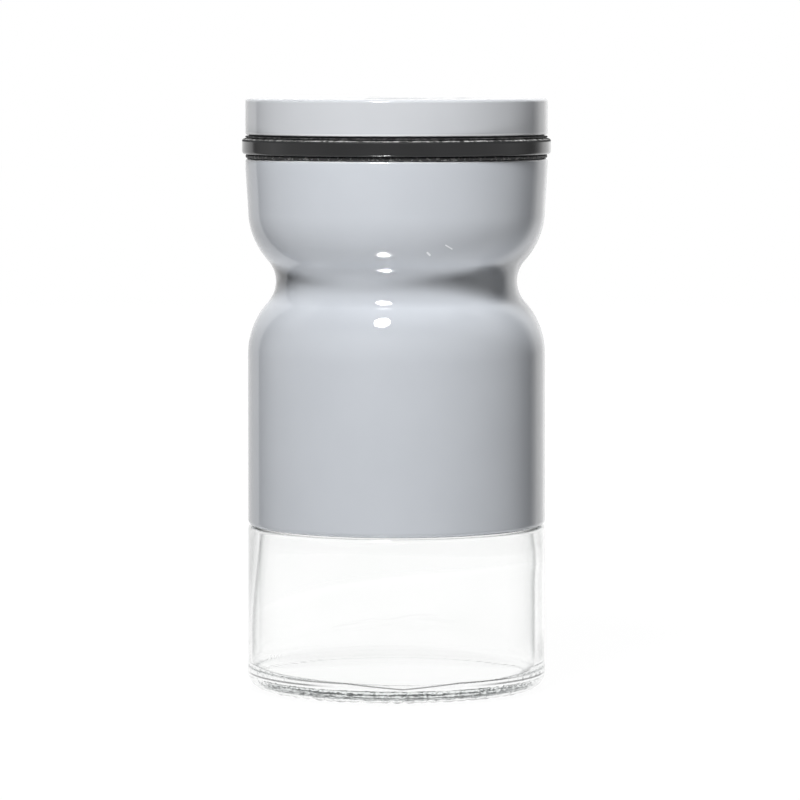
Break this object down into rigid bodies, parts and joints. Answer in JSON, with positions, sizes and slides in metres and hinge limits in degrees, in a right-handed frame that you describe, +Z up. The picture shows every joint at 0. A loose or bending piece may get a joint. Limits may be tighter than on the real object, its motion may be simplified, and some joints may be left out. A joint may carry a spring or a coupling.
{
  "type": "salt shaker",
  "caption": "Waisted salt shaker: clear glass jar in a glossy painted steel sleeve, with a screw-off lid whose dial turns between pour slot, coarse holes, fine holes and shut.",
  "frame": {"origin": "centre of the base, on the surface that the shaker stands on", "axes": "+Z up along the shaker's axis, -Y to the front, where the lid's window and the dial's pour slot lie at rest"},
  "size_m": [0.0612, 0.0612, 0.1174],
  "materials": {
    "clear_glass": "clear pressed glass, fire polished",
    "grey_paint": "glossy light grey enamel",
    "black_plastic": "satin moulded plastic",
    "black_rubber": "matt rubber",
    "pale_silicone": "translucent silicone"
  },
  "bodies": {
    "jar": {"glass_jar": "clear_glass", "outer_sleeve": "grey_paint", "rim_gasket": "black_rubber"},
    "seal": {"lid_seal": "pale_silicone"},
    "lid": {"lid_collar": "black_plastic"},
    "dial": {"dial_liner": "black_plastic", "dial_cap": "grey_paint", "hub_clip": "black_plastic"}
  },
  "joints": [
    {"name": "lid_rise", "type": "slide", "parent": "jar", "child": "seal", "axis": [0, 0, 1], "range_m": [0, 0.0091]},
    {"name": "lid_unscrew", "type": "hinge", "parent": "seal", "child": "lid", "pos_m": [0, 0, 0.1066], "axis": [0, 0, 1], "range_deg": [0, 540]},
    {"name": "dial_turn", "type": "hinge", "parent": "lid", "child": "dial", "pos_m": [0, 0, 0.1153], "axis": [0, 0, 1], "continuous": true}
  ],
  "couplings": [
    {"joint": "lid_rise", "follows": "lid_unscrew", "m_per_rad": 0.00095493}
  ]
}
